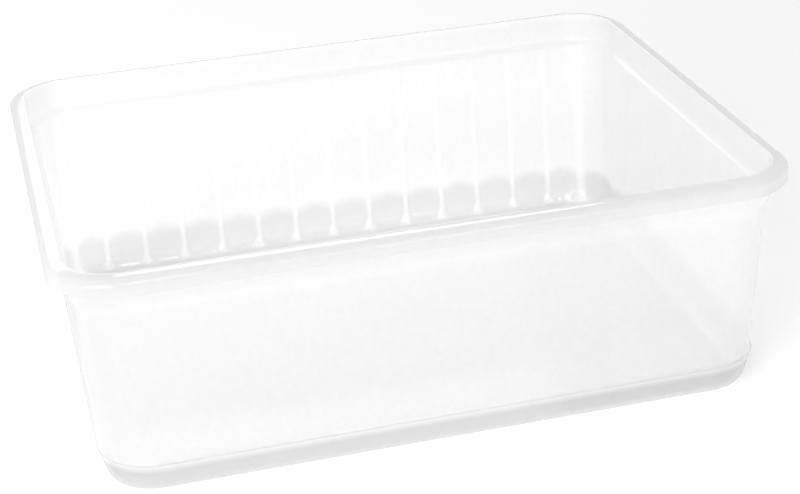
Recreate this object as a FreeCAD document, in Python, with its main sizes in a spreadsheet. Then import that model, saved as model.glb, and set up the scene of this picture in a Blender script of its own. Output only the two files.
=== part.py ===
"""Rectangular deli tub: one thin-walled moulding with an inverted-U rim, a lid ledge and ribbed walls.

Frame: +Z up, X along the length, origin at the middle of the underside.
The moulding is one ruled loft. Its sections are rounded rectangles, each set in from the rim's outline
by its own inset, and they follow the wall's cross-section from the underside, over the rim, to the floor.
"""
import FreeCAD, Part
import Sketcher
import math
import os

doc = FreeCAD.newDocument("DeliTub")

# Driving dimensions: millimetres, or plain counts
driving = {
    # the rim's outline and the overall height
    "rimLength": 180,
    "rimWidth": 145.5,
    "tubHeight": 59.5,
    "rimCorner": 16.5,
    # thickness of the moulding: walls, floor, and up through the ledge
    "wall": 0.7,
    "floorWall": 0.8,
    "ledgeWall": 1.3,
    # rim: a skirt, and a crown that rises inwards to the crest
    "skirtDepth": 3.25,
    "crownRise": 1.2,
    "crownWidth": 3.4,
    "edgeRound": 0.2,
    # collar below the crest, and the sloping ledge that carries the lid's plug
    "collarTaper": 0.3,
    "ledgeDepth": 7.9,
    "ledgeWidth": 1.6,
    "ledgeFall": 1.3,
    # body below the ledge, and the bevel round the floor
    "wallTaper": 1.7,
    "footCorner": 14,
    "bevelHeight": 7.8,
    "bevelInset": 2.1,
    # ribs up the inner faces, each with a small foot
    "ribPitch": 11.35,
    "ribWidth": 1.6,
    "ribProud": 0.45,
    "ribDrop": 0.5,
    "longRibs": 13,
    "shortRibs": 9,
    "footWidth": 3.4,
    "footReach": 1.4,
}
BEVEL_STEPS = 4

sizes = doc.addObject("Spreadsheet::Sheet", "Sizes")
for row, (alias, value) in enumerate(driving.items(), start=1):
    sizes.set(f"A{row}", alias)
    sizes.set(f"B{row}", str(value))
    sizes.setAlias(f"B{row}", alias)
doc.recompute()

body = doc.addObject("PartDesign::Body", "Tub")
body.Label = "tub"


# Helpers: formulas are text, and @name stands for that cell of the sheet

def bind(item, path, formula):
    """Drive a property or a named constraint by a formula."""
    item.setExpression(path, formula.replace("@", "<<Sizes>>."))


def origin(role):
    """Return the body's own origin plane or axis of that role."""
    return next(item for item in body.Origin.OriginFeatures if item.Role == role)


def newSketch(name, plane, offset):
    """Add a sketch on an origin plane, moved along the plane's normal by a formula."""
    sketch = body.newObject("Sketcher::SketchObject", name)
    sketch.AttachmentSupport = (origin(plane), "")
    sketch.MapMode = "FlatFace"
    bind(sketch, "AttachmentOffset.Base.z", offset)
    return sketch


def constrain(sketch, name, formula, *constraint):
    """Add a driving constraint with a name and a formula."""
    index = sketch.addConstraint(Sketcher.Constraint(*constraint))
    sketch.renameConstraint(index, name)
    bind(sketch, f"Constraints.{name}", formula)


def ringSketch(name, height, inset, corner):
    """Draw a rounded rectangle at a height, set in from the rim's outline."""
    sketch = newSketch(name, "XY_Plane", height)
    x, y, radius = 60, 50, 10
    centres = [(x, y), (-x, y), (-x, -y), (x, -y)]
    for quarter, (cx, cy) in enumerate(centres):
        circle = Part.Circle(FreeCAD.Vector(cx, cy, 0), FreeCAD.Vector(0, 0, 1), radius)
        start = quarter * math.pi / 2
        sketch.addGeometry(Part.ArcOfCircle(circle, start, start + math.pi / 2))
    for quarter, (cx, cy) in enumerate(centres):
        nx, ny = centres[(quarter + 1) % 4]
        out = FreeCAD.Vector(0, radius, 0) if quarter % 2 == 0 else FreeCAD.Vector(-radius, 0, 0)
        if quarter > 1:
            out = -out
        sketch.addGeometry(Part.LineSegment(FreeCAD.Vector(cx, cy, 0) + out, FreeCAD.Vector(nx, ny, 0) + out))
    for quarter in range(4):
        side = 4 + quarter
        sketch.addConstraint(Sketcher.Constraint("Tangent", quarter, 2, side, 1))
        sketch.addConstraint(Sketcher.Constraint("Tangent", side, 2, (quarter + 1) % 4, 1))
    for quarter in range(1, 4):
        sketch.addConstraint(Sketcher.Constraint("Equal", 0, quarter))
    sketch.addConstraint(Sketcher.Constraint("Symmetric", 0, 3, 1, 3, -2))
    sketch.addConstraint(Sketcher.Constraint("Symmetric", 0, 3, 3, 3, -1))
    sketch.addConstraint(Sketcher.Constraint("Symmetric", 0, 3, 2, 3, -1, 1))
    constrain(sketch, "alongX", f"@rimLength / 2 - ({inset}) - ({corner})", "DistanceX", -1, 1, 0, 3, x)
    constrain(sketch, "alongY", f"@rimWidth / 2 - ({inset}) - ({corner})", "DistanceY", -1, 1, 0, 3, y)
    constrain(sketch, "corner", corner, "Radius", 0, radius)
    return sketch


def polygonSketch(name, plane, offset, points):
    """Draw a closed polygon whose points are pairs of formulas, all of them in the plane's first quadrant."""
    sketch = newSketch(name, plane, offset)
    count = len(points)
    start = [FreeCAD.Vector(50 + 5 * math.cos(k), 50 + 5 * math.sin(k), 0) for k in range(count)]
    for index in range(count):
        sketch.addGeometry(Part.LineSegment(start[index], start[(index + 1) % count]))
    for index, (across, up) in enumerate(points):
        sketch.addConstraint(Sketcher.Constraint("Coincident", (index - 1) % count, 2, index, 1))
        constrain(sketch, f"across{index}", across, "DistanceX", -1, 1, index, 1, start[index].x)
        constrain(sketch, f"up{index}", up, "DistanceY", -1, 1, index, 1, start[index].y)
    return sketch


# Cross-section of the wall: heights, and insets of the inner face

RIM_BEND = "@tubHeight - @crownRise"
SKIRT_EDGE = "@tubHeight - @crownRise - @skirtDepth"
LEDGE_TOP = "@tubHeight - @ledgeDepth"
LEDGE_FOOT = "@tubHeight - @ledgeDepth - @ledgeFall"
CREST_IN = "@crownWidth + @wall"
LEDGE_TOP_IN = f"{CREST_IN} + @collarTaper"
LEDGE_FOOT_IN = f"{LEDGE_TOP_IN} + @ledgeWidth"
WALL_FOOT_IN = f"{LEDGE_FOOT_IN} + @wallTaper"


def bevelPoint(step, share, proud="0"):
    """Return height and inset on the bevel: step 0 is its top; share 0 is its outer face, 1 its inner."""
    turn = f"{90 * step / BEVEL_STEPS} deg"
    height = f"@bevelHeight - (@bevelHeight - {share} * @floorWall) * sin({turn})"
    inset = f"{WALL_FOOT_IN} - {1 - share} * @wall + {proud} + @bevelInset * (1 - cos({turn}))"
    return height, inset


def bevelRing(step, share):
    """Return a section of the bevel, whose corner tightens as the bevel turns in."""
    height, inset = bevelPoint(step, share)
    turn = f"{90 * step / BEVEL_STEPS} deg"
    return height, inset, f"@footCorner - {share} * @wall - @bevelInset * (1 - cos({turn}))"


def rimRing(height, inset):
    """Return a section whose corner is concentric with the rim's."""
    return height, inset, f"@rimCorner - ({inset})"


rings = [bevelRing(step, 0) for step in range(BEVEL_STEPS, -1, -1)]
rings += [
    rimRing(f"{LEDGE_FOOT} - @ledgeWall", f"{LEDGE_FOOT_IN} - @wall"),
    rimRing(f"{LEDGE_TOP} - @ledgeWall", f"{LEDGE_TOP_IN} - @wall"),
    rimRing("@tubHeight - @wall", "@crownWidth"),
    rimRing(f"{RIM_BEND} - @wall", "@wall"),
    rimRing(f"{SKIRT_EDGE} + @edgeRound", "@wall"),
    rimRing(SKIRT_EDGE, "@wall / 2"),
    rimRing(f"{SKIRT_EDGE} + @edgeRound", "0"),
    rimRing(RIM_BEND, "0"),
    rimRing("@tubHeight - @edgeRound", "@crownWidth"),
    rimRing("@tubHeight", "@crownWidth + @wall / 2"),
    rimRing("@tubHeight - @edgeRound", CREST_IN),
    rimRing(LEDGE_TOP, LEDGE_TOP_IN),
    rimRing(LEDGE_FOOT, LEDGE_FOOT_IN),
]
rings += [bevelRing(step, 1) for step in range(BEVEL_STEPS + 1)]
sections = [ringSketch(f"Ring{number:02d}", *ring) for number, ring in enumerate(rings)]

shell = body.newObject("PartDesign::AdditiveLoft", "Shell")
shell.Profile = (sections[0], [""])
shell.Sections = [(section, [""]) for section in sections[1:]]
shell.Ruled = True
body.Tip = shell
doc.recompute()


# Ribs and their feet: prisms half sunk in the wall, repeated along it and mirrored to the opposite wall

def onWall(drop):
    """Return the inset of the inner wall's face at a drop below the ledge's foot."""
    return f"{LEDGE_FOOT_IN} + @wallTaper * ({drop}) / ({LEDGE_FOOT} - @bevelHeight)"


def ribProfile():
    """Return heights and insets round a rib: down its face and the bevel, and back up inside the wall."""
    steps = range(BEVEL_STEPS + 1)
    top = [
        (f"{LEDGE_FOOT} - @ribDrop", f"{onWall('@ribDrop')} - @wall / 2"),
        (f"{LEDGE_FOOT} - @ribDrop - @ribProud", f"{onWall('@ribDrop + @ribProud')} + @ribProud"),
    ]
    face = [bevelPoint(step, 1, "@ribProud") for step in steps]
    sunk = [bevelPoint(step, 0.5) for step in reversed(steps)]
    return top + face + sunk


def footProfile():
    """Return heights and insets round a foot: a wedge from halfway up the bevel to the floor."""
    floorEdge = f"{WALL_FOOT_IN} + @bevelInset + @footReach"
    half = BEVEL_STEPS // 2
    tip = [bevelPoint(half, 1, "@ribProud"), ("@floorWall", floorEdge), ("@floorWall / 2", floorEdge)]
    return tip + [bevelPoint(step, 0.5) for step in range(BEVEL_STEPS, half - 1, -1)]


def prism(name, plane, halfSpan, offset, profile, width):
    """Pad a profile both ways from its plane."""
    points = [(f"{halfSpan} - ({inset})", height) for height, inset in profile]
    pad = body.newObject("PartDesign::Pad", name)
    pad.Profile = (polygonSketch(f"{name}Profile", plane, offset, points), [""])
    pad.SideType = "Symmetric"
    bind(pad, "Length", width)
    doc.recompute()
    return pad


def ribRow(name, plane, halfSpan, sense, along, mirror, count):
    """Build one rib with its foot at the row's end, and repeat both along the wall and across the tub."""
    end = f"{sense} * @ribPitch * ({count} - 1) / 2"
    rib = prism(f"{name}Rib", plane, halfSpan, end, ribProfile(), "@ribWidth")
    foot = prism(f"{name}Foot", plane, halfSpan, end, footProfile(), "@footWidth")
    row = body.newObject("PartDesign::MultiTransform", f"{name}Ribs")
    row.Originals = [rib, foot]
    repeat = body.newObject("PartDesign::LinearPattern", f"{name}Pattern")
    repeat.Direction = (origin(along), [""])
    bind(repeat, "Length", f"@ribPitch * ({count} - 1)")
    bind(repeat, "Occurrences", count)
    across = body.newObject("PartDesign::Mirrored", f"{name}Mirror")
    across.MirrorPlane = (origin(mirror), [""])
    row.Transformations = [repeat, across]
    body.Tip = row
    doc.recompute()
    return row


longRow = ribRow("Long", "YZ_Plane", "@rimWidth / 2", -1, "X_Axis", "XZ_Plane", "@longRibs")
shortRow = ribRow("Short", "XZ_Plane", "@rimLength / 2", 1, "Y_Axis", "YZ_Plane", "@shortRibs")


# Checks, and one STEP file for the piece

for item in doc.Objects:
    if {"Invalid", "Error"} & set(item.State):
        raise RuntimeError(f"{item.Name} is {item.State}")
for before, after in ((shell, longRow), (longRow, shortRow)):
    if after.Shape.Volume <= before.Shape.Volume + 1:
        raise RuntimeError(f"{after.Name} adds nothing")
tub = body.Shape
if tub.isNull() or not tub.isValid() or len(tub.Solids) != 1:
    raise RuntimeError("the tub isn't one valid solid")
os.makedirs("parts", exist_ok=True)
tub.exportStep(f"parts/{body.Label}.step")
print(f"{body.Label}: {tub.Volume / 1000:.2f} cm3, {len(tub.Faces)} faces, {tub.BoundBox}")
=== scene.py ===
import math

import bpy
import numpy as np
from mathutils import Matrix, Vector


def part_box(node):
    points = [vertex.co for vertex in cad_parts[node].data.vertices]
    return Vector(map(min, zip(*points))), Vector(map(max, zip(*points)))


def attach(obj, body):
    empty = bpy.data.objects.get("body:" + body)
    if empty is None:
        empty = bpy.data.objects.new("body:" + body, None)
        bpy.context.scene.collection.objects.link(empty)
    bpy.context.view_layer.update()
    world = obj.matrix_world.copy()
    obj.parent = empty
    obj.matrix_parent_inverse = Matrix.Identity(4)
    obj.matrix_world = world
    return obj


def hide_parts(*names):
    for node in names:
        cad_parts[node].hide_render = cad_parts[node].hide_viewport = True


mm = 0.001
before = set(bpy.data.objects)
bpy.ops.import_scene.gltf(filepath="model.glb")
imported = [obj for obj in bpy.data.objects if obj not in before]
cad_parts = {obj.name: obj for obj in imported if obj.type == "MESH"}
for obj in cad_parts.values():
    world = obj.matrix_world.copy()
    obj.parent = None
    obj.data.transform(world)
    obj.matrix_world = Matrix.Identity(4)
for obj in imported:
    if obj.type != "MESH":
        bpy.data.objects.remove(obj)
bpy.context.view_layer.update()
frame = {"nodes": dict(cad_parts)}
tubLow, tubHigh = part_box("tub")
print("frame loaded:", ", ".join(frame["nodes"]))


# camera: a long lens, from the left and above the near long side
camera = {
    "aim": (18.5, 27.0, 7.7),      # mm
    "distance": 549.7,             # mm
    "azimuth": -13.56,             # degrees, 0 looks along +Y
    "elevation": 24.5,
    "roll": -3.15,
    "lens": 86.33,                 # mm, on a sensor 36 mm wide
    "shift": (-0.0303, 0.0079),
}


def makeCamera(settings):
    az, el, roll = (math.radians(settings[name]) for name in ("azimuth", "elevation", "roll"))
    back = Vector((math.sin(az) * math.cos(el), -math.cos(az) * math.cos(el), math.sin(el)))
    right = (-back).cross(Vector((0, 0, 1))).normalized()
    up = right.cross(-back)
    turnedRight = math.cos(roll) * right + math.sin(roll) * up
    turnedUp = math.cos(roll) * up - math.sin(roll) * right
    data = bpy.data.cameras.new("camera")
    data.lens = settings["lens"]
    data.shift_x, data.shift_y = settings["shift"]
    data.clip_start, data.clip_end = 0.01, 20
    item = bpy.data.objects.new("camera", data)
    bpy.context.scene.collection.objects.link(item)
    basis = Matrix((turnedRight, turnedUp, back)).transposed().to_4x4()
    place = Vector(settings["aim"]) * mm + back * settings["distance"] * mm
    item.matrix_world = Matrix.Translation(place) @ basis
    bpy.context.scene.camera = item


makeCamera(camera)


# small helpers for node trees
def linear(hexColour):
    parts = [int(hexColour[i:i + 2], 16) / 255 for i in (1, 3, 5)]
    return tuple(c / 12.92 if c <= 0.04045 else ((c + 0.055) / 1.055) ** 2.4 for c in parts) + (1.0,)


def addNode(tree, kind, settings=None, inputs=None, links=None):
    node = tree.nodes.new(kind)
    for name, value in (settings or {}).items():
        setattr(node, name, value)
    for name, value in (inputs or {}).items():
        node.inputs[name].default_value = value
    for name, source in (links or {}).items():
        tree.links.new(source, node.inputs[name])
    return node


def give(tree, socket, value):
    # a number or a hex colour is set, and another node's output is linked
    if isinstance(value, (int, float)):
        socket.default_value = value
    elif isinstance(value, str):
        socket.default_value = linear(value)
    else:
        tree.links.new(value, socket)


def compute(tree, operation, *values):
    node = addNode(tree, "ShaderNodeMath", {"operation": operation})
    for socket, value in zip(node.inputs, values):
        give(tree, socket, value)
    return node.outputs[0]


def fade(tree, value, low, high, atLow, atHigh):
    # a smooth change from atLow, where the value is low, to atHigh, where it is high
    node = addNode(tree, "ShaderNodeMapRange", {"interpolation_type": "SMOOTHSTEP"}, links={"Value": value})
    for name, given in zip(("From Min", "From Max", "To Min", "To Max"), (low, high, atLow, atHigh)):
        give(tree, node.inputs[name], given)
    return node.outputs["Result"]


def mixColours(tree, share, first, second):
    node = addNode(tree, "ShaderNodeMix", {"data_type": "RGBA"})
    for socket, value in zip((node.inputs[0], node.inputs[6], node.inputs[7]), (share, first, second)):
        give(tree, socket, value)
    return node.outputs[2]


def mixShaders(tree, share, first, second):
    node = addNode(tree, "ShaderNodeMixShader", links={1: first, 2: second})
    give(tree, node.inputs[0], share)
    return node.outputs[0]


# the tub: sizes in mm; heights are above the table, and insets are from the rim's outline
tub = {
    "length": (tubHigh.x - tubLow.x) / mm,
    "width": (tubHigh.y - tubLow.y) / mm,
    "height": (tubHigh.z - tubLow.z) / mm,
    "rimCorner": 16.5,
    "wall": 0.7,
    "floorWall": 0.8,
    "skirtDepth": 3.25,
    "crownRise": 1.2,
    "crownWidth": 3.4,
    "collarTaper": 0.3,
    "ledgeDepth": 7.9,
    "ledgeWidth": 1.6,
    "ledgeFall": 1.3,
    "ledgeWall": 1.3,
    "wallTaper": 1.7,
    "footCorner": 14.0,
    "bevelHeight": 7.8,
    "bevelInset": 2.1,
    "bead": 0.42,                  # the bevel's top edge stands out from the wall by this
    "creaseHeight": 4.2,           # below this the bevel turns in more sharply
    "longestStep": 5.0,            # long runs of the section are divided, so that ribs can fade along them
    "cornerSteps": 14,
}
ribs = {
    "pitch": 11.35,
    "longCount": 13,
    "shortCount": 9,
    "cornerGap": 10.2,             # from the last rib of a long side to the ridge in the corner
    "width": 2.5,
    "proud": 0.35,
    "footWidth": 4.4,
    "footProud": 0.8,
    "footHeight": 4.6,
    "footWhole": 0.45,             # the share of its height over which a foot keeps its whole width
    "floorFade": (0.9, 2.0),       # a foot sinks away between these heights, so that the floor stays flat
    "ledgeFade": 1.4,              # a rib sinks away over this, below the ledge
    "cornersFrom": (71.0, 53.0),   # from the middle planes: past both, a rib is a ridge in a corner
    "cornerFade": 1.0,
    "cornerWiden": 2.1,            # the ridges in the corners are wider than the ribs
    "shortFrom": (79.5, 81.5),     # from the middle plane, where the short sides begin
    "shortShare": 0.15,            # and how far their ribs stand out, as a share of the others
    "spots": (0, 0.3, 0.6, 0.9, 1.3, 1.8, 2.6, 4.0),   # points across half a rib
}


def roundedPath(points):
    # each corner becomes a short curve, of the rounding that is its third number
    path = [Vector(points[0][:2])]
    for index in range(1, len(points) - 1):
        here, size = Vector(points[index][:2]), points[index][2]
        start = here + (Vector(points[index - 1][:2]) - here).normalized() * size
        end = here + (Vector(points[index + 1][:2]) - here).normalized() * size
        steps = 3 if size < 0.4 else 4
        for k in range(steps + 1):
            t = k / steps
            path.append(start * (1 - t) ** 2 + here * 2 * t * (1 - t) + end * t * t)
    path.append(Vector(points[-1][:2]))
    return path


def divided(path, longest):
    # add points along the runs that are longer than that
    fine = [path[0]]
    for here in path[1:]:
        count = max(1, math.ceil((here - fine[-1]).length / longest))
        fine += [fine[-1].lerp(here, (k + 1) / count) for k in range(count)]
    return fine


def tubSection(s):
    # the wall's outline, from the underside out and up, over the rim, and down inside to the floor;
    # each point is (inset, height, rounding)
    crest = s["height"]
    bend = crest - s["crownRise"]
    skirt = bend - s["skirtDepth"]
    ledgeTop = crest - s["ledgeDepth"]
    ledgeFoot = ledgeTop - s["ledgeFall"]
    crestIn = s["crownWidth"] + s["wall"]
    ledgeTopIn = crestIn + s["collarTaper"]
    ledgeFootIn = ledgeTopIn + s["ledgeWidth"]
    footIn = ledgeFootIn + s["wallTaper"]
    footOut = footIn - s["wall"]
    high, inset, bead = s["bevelHeight"], s["bevelInset"], s["bead"]
    outside = [
        (footOut + inset + 2, 0, 0),
        (footOut + inset, 0, 0.5),
        (footOut + 0.55 * inset, s["creaseHeight"] * 0.35, 0.7),
        (footOut + 0.2 * inset, s["creaseHeight"], 0.25),
        (footOut - bead, high - 0.2, 0.22),
        (footOut, high + 0.38, 0.8),
        (ledgeFootIn - s["wall"], ledgeFoot - s["ledgeWall"] - 0.9, 1.6),
        (ledgeTopIn - s["wall"] + 0.3, ledgeTop - s["ledgeWall"] + 0.6, 1.4),
        (s["crownWidth"], crest - 1.2 * s["wall"], 0.5),
        (s["wall"], bend - s["wall"], 0.5),
        (s["wall"], skirt, 0.3),
        (0, skirt, 0.3),
        (0, bend, 0.8),
        (0.44 * s["crownWidth"], bend + 0.625 * s["crownRise"], 0.5),
        (s["crownWidth"], crest, 0.35),
    ]
    inside = [
        (crestIn, crest, 0.33),
        (ledgeTopIn, ledgeTop, 0.8),
        (ledgeFootIn, ledgeFoot, 0.8),
        (footIn, high, 2.5),
        (footIn + 0.4 * inset, 2.8, 1.4),
        (footIn + inset, s["floorWall"], 0.9),
        (footIn + inset + 2, s["floorWall"], 0),
    ]
    path = divided(roundedPath(outside + inside), s["longestStep"])
    crestAt = max(range(len(path)), key=lambda k: path[k].y)
    return path, crestAt, ledgeFoot, footOut


def cornerSize(s, inset, height, ledgeFoot, footOut):
    # concentric with the rim down to the ledge, then growing to the size at the foot
    above, below = s["rimCorner"] - inset, s["footCorner"] - inset + footOut
    share = min(1, max(0, (height - s["bevelHeight"]) / (ledgeFoot - s["ledgeWall"] - s["bevelHeight"])))
    return above * share + below * (1 - share)


def ribSpots(count):
    # places along half a side, from its middle: close together at each rib
    pitch = ribs["pitch"]
    places = {pitch * k / 2 for k in range(count)}
    for k in range((count + 1) // 2):
        places |= {abs(pitch * k + side * spot) for spot in ribs["spots"] for side in (-1, 1)}
    last = pitch * (count - 1) / 2 + ribs["spots"][-2]
    return sorted({round(place, 3) for place in places if place <= last + 0.001})


def quarterRing(s, inset, corner, longSpots, shortSpots):
    # from the middle of the +X side, anticlockwise to the middle of the +Y side, as (x, y),
    # with the place along the side, counted from a rib or from the ridge in the corner
    straightX, straightY = s["length"] / 2 - inset - corner, s["width"] / 2 - inset - corner
    arc = corner * math.pi / 2

    def reach(place, straight):
        return place if place <= straight else straight + corner * math.asin((place - straight) / corner)

    def point(d):
        if d <= straightY:
            return straightX + corner, d
        if d < straightY + arc:
            turn = (d - straightY) / corner
            return straightX + corner * math.cos(turn), straightY + corner * math.sin(turn)
        return straightX - (d - straightY - arc), straightY + corner

    whole = straightX + arc + straightY
    first = [reach(place, straightY) for place in shortSpots]
    last = [whole - reach(place, straightX) for place in reversed(longSpots)]
    ridge = whole - ribs["pitch"] * (ribs["longCount"] - 1) / 2 - ribs["cornerGap"]
    half = ribs["pitch"] / 2 - 0.01   # past half a pitch a point would count from the next rib
    aside = ribs["spots"][-2]
    steps = s["cornerSteps"]
    sweep = [first[-1] + (ridge - aside - first[-1]) * k / steps for k in range(1, steps + 1)]
    near = [ridge + side * spot for side in (-1, 1) for spot in ribs["spots"][:-2] if spot or side > 0]
    rest = [ridge + aside + (last[0] - ridge - aside) * k / 3 for k in range(3)]
    between = sorted(sweep + near + rest)
    places = shortSpots + [min(half, max(-half, d - ridge)) for d in between] + longSpots[::-1]
    return [point(d) for d in first + between + last], places


def fullRing(quarter):
    # mirror a quarter to all four; for a list of numbers it repeats them in the same order
    if isinstance(quarter[0], tuple):
        parts = [[(x * sx, y * sy) for x, y in quarter] for sx, sy in ((1, 1), (-1, 1), (-1, -1), (1, -1))]
    else:
        parts = [list(quarter) for _ in range(4)]
    return parts[0][:-1] + parts[1][:0:-1] + parts[2][:-1] + parts[3][:0:-1]


def tubShell(s):
    path, crestAt, ledgeFoot, footOut = tubSection(s)
    longSpots, shortSpots = ribSpots(ribs["longCount"]), ribSpots(ribs["shortCount"])
    rings, places = [], []
    for inset, height in path:
        corner = cornerSize(s, inset, height, ledgeFoot, footOut)
        quarter, alongQuarter = quarterRing(s, inset, corner, longSpots, shortSpots)
        rings.append([(x, y, height) for x, y in fullRing(quarter)])
        places.append(fullRing(alongQuarter))
    inner = [0] * crestAt + [1] * (len(path) - crestAt - 1) + [0]

    # the flat middles of the underside and the floor: smaller and smaller copies of the end rings
    shrink = [0.8, 0.55, 0.3, 0.1]
    rings = [[(x * f, y * f, z) for x, y, z in rings[0]] for f in reversed(shrink)] + rings
    rings += [[(x * f, y * f, z) for x, y, z in rings[-1]] for f in shrink]
    inner = [0] * len(shrink) + inner + [0] * len(shrink)
    places = [places[0]] * len(shrink) + places + [places[-1]] * len(shrink)

    around = len(places[0])
    points = [Vector(p) * mm for ring in rings for p in ring]
    faces = []
    for level in range(len(rings) - 1):
        low, high = level * around, (level + 1) * around
        for k in range(around):
            after = (k + 1) % around
            faces.append((low + k, low + after, high + after, high + k))
    under, floor = len(points), len(points) + 1
    points += [Vector((0, 0, 0)), Vector((0, 0, s["floorWall"])) * mm]
    top = (len(rings) - 1) * around
    faces += [(under, (k + 1) % around, k) for k in range(around)]
    faces += [(floor, top + k, top + (k + 1) % around) for k in range(around)]

    mesh = bpy.data.meshes.new("tubShell")
    mesh.from_pydata(points, [], faces)
    along = mesh.attributes.new("along", "FLOAT", "POINT")
    along.data.foreach_set("value", [value for ring in places for value in ring] + [0, 0])
    inside = mesh.attributes.new("inside", "FLOAT", "POINT")
    inside.data.foreach_set("value", [value for value in inner for _ in range(around)] + [0, 0])
    mesh.validate()
    mesh.shade_smooth()
    item = bpy.data.objects.new("tubShell", mesh)
    bpy.context.scene.collection.objects.link(item)
    return item, ledgeFoot


# Geometry Nodes raise the ribs and their feet out of the shell's inner wall
def ribTree():
    tree = bpy.data.node_groups.new("ribRows", "GeometryNodeTree")
    sockets = tree.interface
    sockets.new_socket("Geometry", in_out="INPUT", socket_type="NodeSocketGeometry")
    for name in ("Pitch", "Rib Width", "Rib Proud", "Foot Width", "Foot Proud", "Foot Height", "Ledge Foot",
                 "Corner Widen", "Short Share"):
        sockets.new_socket(name, in_out="INPUT", socket_type="NodeSocketFloat")
    sockets.new_socket("Material", in_out="INPUT", socket_type="NodeSocketMaterial")
    sockets.new_socket("Geometry", in_out="OUTPUT", socket_type="NodeSocketGeometry")
    group = addNode(tree, "NodeGroupInput").outputs

    along, inside = (addNode(tree, "GeometryNodeInputNamedAttribute", {"data_type": "FLOAT"},
                             {"Name": name}).outputs[0] for name in ("along", "inside"))
    place = addNode(tree, "GeometryNodeInputPosition").outputs[0]
    axes = addNode(tree, "ShaderNodeSeparateXYZ", links={"Vector": place}).outputs
    x, y, height = (compute(tree, "MULTIPLY", axes[name], 1 / mm) for name in "XYZ")
    x, y = compute(tree, "ABSOLUTE", x), compute(tree, "ABSOLUTE", y)

    # the width: wider in the feet, and in the ridges of the corners
    footHeight = group["Foot Height"]
    foot = fade(tree, height, compute(tree, "MULTIPLY", footHeight, ribs["footWhole"]), footHeight, 1, 0)
    inCorner = compute(tree, "MULTIPLY", *(fade(tree, away, start, start + ribs["cornerFade"], 0, 1)
                                           for away, start in zip((x, y), ribs["cornersFrom"])))
    width = fade(tree, foot, 0, 1, group["Rib Width"], group["Foot Width"])
    halfWidth = compute(tree, "MULTIPLY", compute(tree, "MULTIPLY", width, 0.5),
                        fade(tree, inCorner, 0, 1, 1, group["Corner Widen"]))

    # the share of its full height that a rib has at a point, which falls to nothing at its sides and its ends
    halfPitch = compute(tree, "MULTIPLY", group["Pitch"], 0.5)
    fromRib = compute(tree, "ABSOLUTE",
                      compute(tree, "WRAP", along, halfPitch, compute(tree, "MULTIPLY", halfPitch, -1)))
    onRib = fade(tree, fromRib, 0, halfWidth, 1, 0)
    ledgeFoot = group["Ledge Foot"]
    belowLedge = fade(tree, height, compute(tree, "SUBTRACT", ledgeFoot, ribs["ledgeFade"]), ledgeFoot, 1, 0)
    onSide = fade(tree, x, *ribs["shortFrom"], 1, group["Short Share"])
    aboveFloor = fade(tree, height, *ribs["floorFade"], 0, 1)
    for factor in (belowLedge, inside, onSide, aboveFloor):
        onRib = compute(tree, "MULTIPLY", onRib, factor)

    proud = fade(tree, foot, 0, 1, group["Rib Proud"], group["Foot Proud"])
    rise = compute(tree, "MULTIPLY", compute(tree, "MULTIPLY", onRib, proud), mm)
    normal = addNode(tree, "GeometryNodeInputNormal").outputs[0]
    offset = addNode(tree, "ShaderNodeVectorMath", {"operation": "SCALE"}, links={0: normal, "Scale": rise})
    raised = addNode(tree, "GeometryNodeSetPosition",
                     links={"Geometry": group["Geometry"], "Offset": offset.outputs[0]})

    # the material reads where the ribs are, and how far across the panel between two of them a point is
    marked = raised
    for name, value in (("onRib", onRib), ("panel", compute(tree, "DIVIDE", fromRib, halfPitch))):
        marked = addNode(tree, "GeometryNodeStoreNamedAttribute", {"data_type": "FLOAT", "domain": "POINT"},
                         {"Name": name}, {"Geometry": marked.outputs[0], "Value": value})
    real = addNode(tree, "GeometryNodeRealizeInstances", links={0: marked.outputs[0]})
    coated = addNode(tree, "GeometryNodeSetMaterial",
                     links={0: real.outputs[0], "Material": group["Material"]})
    addNode(tree, "NodeGroupOutput", links={0: coated.outputs[0]})
    return tree


def bake(item, tree, values):
    # set the tree's inputs by identifier, and keep the result as a plain mesh
    modifier = item.modifiers.new("ribRows", "NODES")
    modifier.node_group = tree
    for socket in tree.interface.items_tree:
        if socket.in_out == "INPUT" and socket.name in values:
            modifier[socket.identifier] = values[socket.name]
    evaluated = item.evaluated_get(bpy.context.evaluated_depsgraph_get())
    mesh = bpy.data.meshes.new_from_object(evaluated)
    item.modifiers.remove(modifier)
    item.data = mesh


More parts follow.
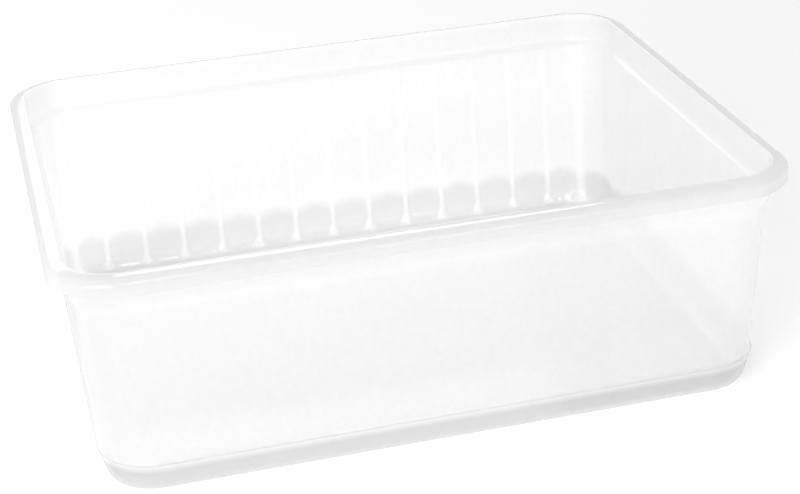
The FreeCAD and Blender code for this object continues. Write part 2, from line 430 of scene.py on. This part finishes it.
# natural polypropylene, injection moulded and left unpigmented: fine crystals scatter light, so a thin wall
# looks milky and glows from both sides, lets some of what is behind it show, and its skin is softly glossy
plastic = {
    "body": "#f6f6f6",
    "rimShade": "#e8e8e8",          # painted shade: the rim is made a little greyer outside, by height and not by thickness
    "rimFrom": (54.8, 55.2),       # mm, the height at which it begins outside
    "ribHighlight": "#ffffff",          # and a painted highlight: the ribs a little whiter, partly for their thicker plastic
    "ribHighlightSharpness": 1.1,
    "ribHighlightFade": (6.0, 14.0),        # mm, the heights between which that painted highlight weakens
    "ribHighlightInFoot": 0.6,              # and the share of it that is left below them
    "footShade": "#cccccc",         # painted shade: a greyer band round the foot, painted in to match
    "footShadeInside": "#dadada",
    "footTop": 8.0,                # mm, where this greyer foot ends outside
    "footFade": 3.0,               # mm, and the height over which it weakens
    "footTopInside": 13.5,         # the same inside
    "footFadeInside": 4.0,
    "arch": 1.1,                   # mm, how much lower it ends at a rib than halfway between two
    "floorReach": (80.0, 62.5),    # mm, where the floor begins to lose that grey
    "floorBorder": 7.0,            # mm, and how far in it is gone
    "glow": 0.72,                  # of the scattered light, the share that comes out on the far side
    "seeThrough": 0.42,            # the share of light that crosses one wall head on without being scattered
    "seeThroughFall": 0.4,         # how fast it falls where the wall is seen at a flatter angle
    "edgeFrom": 0.75,              # past this a wall is seen nearly edge on, and is made clearer, by up to this share: chosen, as such walls came out too dark
    "edgeClear": 0.45,             # by up to this share: chosen by eye, as such walls came out too dark
    "cloudSize": 1.6,              # mm, faint clouding from the crystals
    "cloudDepth": 0.03,
    "ior": 1.49,
    "skinRoughness": 0.1,
    "mostGloss": 0.3,              # a limit on the gloss of a wall seen edge on, for the same reason
    "waveLength": 14.0,            # mm, slow waves from uneven cooling
    "waveHeight": 0.05,            # mm
}


def naturalPolypropylene(s):
    material = bpy.data.materials.new("naturalPolypropylene")
    material.use_nodes = True
    tree = material.node_tree
    tree.nodes.clear()
    place = addNode(tree, "ShaderNodeTexCoord").outputs["Object"]
    axes = addNode(tree, "ShaderNodeSeparateXYZ", links={0: place}).outputs
    x, y, height = (compute(tree, "MULTIPLY", axes[name], 1 / mm) for name in "XYZ")
    inside, panel, onRib = (addNode(tree, "ShaderNodeAttribute", {"attribute_name": name}).outputs["Fac"]
                            for name in ("inside", "panel", "onRib"))
    waves = addNode(tree, "ShaderNodeTexNoise", inputs={"Scale": 1 / (s["waveLength"] * mm), "Detail": 2},
                    links={"Vector": place})
    bump = addNode(tree, "ShaderNodeBump", inputs={"Strength": 1.0, "Distance": s["waveHeight"] * mm},
                   links={"Height": waves.outputs[0]}).outputs[0]

    # the foot's grey is painted shade, given by place and not an effect of thickness: inside, its top is an
    # arch from rib to rib, and on the floor it is a soft border
    outer = fade(tree, height, s["footTop"] - s["footFade"], s["footTop"], 1, 0)
    raised = compute(tree, "ADD", height, fade(tree, panel, 0, 1, s["arch"], 0))
    inner = fade(tree, raised, s["footTopInside"] - s["footFadeInside"], s["footTopInside"], 1, 0)
    pastEdge = [compute(tree, "SUBTRACT", compute(tree, "ABSOLUTE", away), reach)
                for away, reach in zip((x, y), s["floorReach"])]
    border = fade(tree, compute(tree, "MAXIMUM", *pastEdge), -s["floorBorder"], 0, 0, 1)
    inner = compute(tree, "MULTIPLY", inner, border)
    foot = addNode(tree, "ShaderNodeMix", links={0: inside, 2: outer, 3: inner}).outputs[0]

    # painted shade: the rim's outside is greyer above the height given by rimFrom
    rim = addNode(tree, "ShaderNodeMapRange", inputs=dict(zip(("From Min", "From Max"), s["rimFrom"])),
                  links={"Value": height})
    onRim = addNode(tree, "ShaderNodeMath", {"operation": "SUBTRACT", "use_clamp": True},
                    links={0: rim.outputs[0], 1: inside}).outputs[0]
    # painted highlight along the ribs, weaker low down in the foot
    ribHighlightShare = compute(tree, "MULTIPLY", compute(tree, "POWER", onRib, s["ribHighlightSharpness"]),
                       fade(tree, height, *s["ribHighlightFade"], s["ribHighlightInFoot"], 1))
    plain = mixColours(tree, onRim, s["body"], s["rimShade"])
    greyer = mixColours(tree, inside, s["footShade"], s["footShadeInside"])
    colour = mixColours(tree, ribHighlightShare, mixColours(tree, foot, plain, greyer), s["ribHighlight"])

    front = addNode(tree, "ShaderNodeBsdfDiffuse", links={"Color": colour, "Normal": bump}).outputs[0]
    back = addNode(tree, "ShaderNodeBsdfTranslucent", links={"Color": colour, "Normal": bump}).outputs[0]
    milky = mixShaders(tree, s["glow"], front, back)

    # the flatter the view of a wall, the more plastic the light crosses, and the less comes straight through
    flat = addNode(tree, "ShaderNodeLayerWeight", inputs={"Blend": 0.5}).outputs["Facing"]
    straight = compute(tree, "POWER", compute(tree, "SUBTRACT", 1.0, flat), s["seeThroughFall"])
    clouds = addNode(tree, "ShaderNodeTexNoise", inputs={"Scale": 1 / (s["cloudSize"] * mm), "Detail": 3},
                     links={"Vector": place})
    cloudy = addNode(tree, "ShaderNodeMapRange", inputs={
        "To Min": s["seeThrough"] + s["cloudDepth"], "To Max": s["seeThrough"] - s["cloudDepth"]},
        links={"Value": clouds.outputs[0]})
    share = compute(tree, "ADD", compute(tree, "MULTIPLY", straight, cloudy.outputs[0]),
                    fade(tree, flat, s["edgeFrom"], 1, 0, s["edgeClear"]))
    clear = addNode(tree, "ShaderNodeBsdfTransparent").outputs[0]
    wall = mixShaders(tree, share, milky, clear)

    gloss = addNode(tree, "ShaderNodeBsdfGlossy", inputs={"Roughness": s["skinRoughness"]},
                    links={"Normal": bump}).outputs[0]
    fresnel = addNode(tree, "ShaderNodeFresnel", inputs={"IOR": s["ior"]}, links={"Normal": bump}).outputs[0]
    skin = mixShaders(tree, compute(tree, "MINIMUM", fresnel, s["mostGloss"]), wall, gloss)
    # a simplification: a wall scatters only once, and light on its way out of the plastic passes freely
    leaving = addNode(tree, "ShaderNodeNewGeometry").outputs["Backfacing"]
    whole = mixShaders(tree, leaving, skin, clear)
    addNode(tree, "ShaderNodeOutputMaterial", links={"Surface": whole})
    return material


shell, ledgeFoot = tubShell(tub)
bake(shell, ribTree(), {
    "Pitch": ribs["pitch"],
    "Rib Width": ribs["width"],
    "Rib Proud": ribs["proud"],
    "Foot Width": ribs["footWidth"],
    "Foot Proud": ribs["footProud"],
    "Foot Height": ribs["footHeight"],
    "Ledge Foot": ledgeFoot,
    "Corner Widen": ribs["cornerWiden"],
    "Short Share": ribs["shortShare"],
    "Material": naturalPolypropylene(plastic),
})
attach(shell, "root")
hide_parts("tub")
shell.data.calc_loop_triangles()
print("tub shell:", len(shell.data.loop_triangles), "triangles")


# the set: a white floor, a pale room and soft lamps
studio = {
    "floorHalf": 6.0,              # metres
    "floorDrop": 0.0002,           # metres, so that it doesn't meet the underside
    "floorGlow": 0.23,             # what the floor shows of plain white, to the camera and in gloss
    "floorColour": "#f7f7f7",
    "worldLight": 0.33,
    "lamps": {                     # place in metres, width and height in metres, watts
        "key": ((-0.5, -0.58, 0.53), (0.5, 0.5), 3.6),
        "top": ((-0.5, 0.1, 0.9), (0.8, 0.8), 1.5),
        "fill": ((-0.5, -0.9, 0.2), (0.6, 0.6), 2.8),
        "low": ((-0.95, -0.7, 0.1), (0.6, 0.3), 3.0),
        "back": ((0.0, 1.3, 0.72), (0.9, 0.5), 3.0),
        "left": ((-1.0, -0.1, 0.4), (1.0, 1.0), 0.3),
        "sparkFront": ((0.0, -1.2, 0.95), (0.16, 0.4), 1.9),
        "lineFront": ((0.31, -1.4, 0.15), (0.35, 0.1), 0.9),
        "sparkCrest": ((0.13, 0.49, 0.76), (0.37, 0.06), 0.6),
    },
}


def seenRays(tree):
    # 1 for what the camera sees directly, in gloss or through the plastic
    path = addNode(tree, "ShaderNodeLightPath").outputs
    first = compute(tree, "MAXIMUM", path["Is Camera Ray"], path["Is Glossy Ray"])
    return compute(tree, "MAXIMUM", first, path["Is Transmission Ray"])


def makeFloor():
    half, level = studio["floorHalf"], -studio["floorDrop"]
    mesh = bpy.data.meshes.new("floor")
    corners = [(-half, -half, level), (half, -half, level), (half, half, level), (-half, half, level)]
    mesh.from_pydata(corners, [], [(0, 1, 2, 3)])
    floor = bpy.data.objects.new("floor", mesh)
    bpy.context.scene.collection.objects.link(floor)
    material = bpy.data.materials.new("paleFloor")
    material.use_nodes = True
    tree = material.node_tree
    tree.nodes.clear()
    matt = addNode(tree, "ShaderNodeBsdfDiffuse", inputs={"Color": linear(studio["floorColour"])})
    strength = compute(tree, "MULTIPLY", seenRays(tree), studio["floorGlow"])
    glow = addNode(tree, "ShaderNodeEmission", links={"Strength": strength})
    both = addNode(tree, "ShaderNodeAddShader", links={0: matt.outputs[0], 1: glow.outputs[0]})
    addNode(tree, "ShaderNodeOutputMaterial", links={"Surface": both.outputs[0]})
    mesh.materials.append(material)


def makeWorld():
    world = bpy.data.worlds.new("paleRoom")
    world.use_nodes = True
    bpy.context.scene.world = world
    tree = world.node_tree
    strength = addNode(tree, "ShaderNodeMapRange", inputs={"To Min": studio["worldLight"], "To Max": 1.0},
                       links={"Value": seenRays(tree)})
    tree.links.new(strength.outputs["Result"], tree.nodes["Background"].inputs["Strength"])
    tree.nodes["Background"].inputs["Color"].default_value = (1, 1, 1, 1)


def makeLamp(name, place, size, power):
    data = bpy.data.lights.new(name, "AREA")
    data.shape = "RECTANGLE"
    data.size, data.size_y = size
    data.energy = power
    lamp = bpy.data.objects.new(name, data)
    bpy.context.scene.collection.objects.link(lamp)
    turn = Vector(place).to_track_quat("Z", "Y").to_matrix().to_4x4()   # faces the tub's middle
    lamp.matrix_world = Matrix.Translation(place) @ turn


makeFloor()
makeWorld()
for name, (place, size, power) in studio["lamps"].items():
    makeLamp(name, place, size, power)
bpy.context.scene.view_settings.view_transform = "Standard"
print("set made:", len(studio["lamps"]), "lamps")
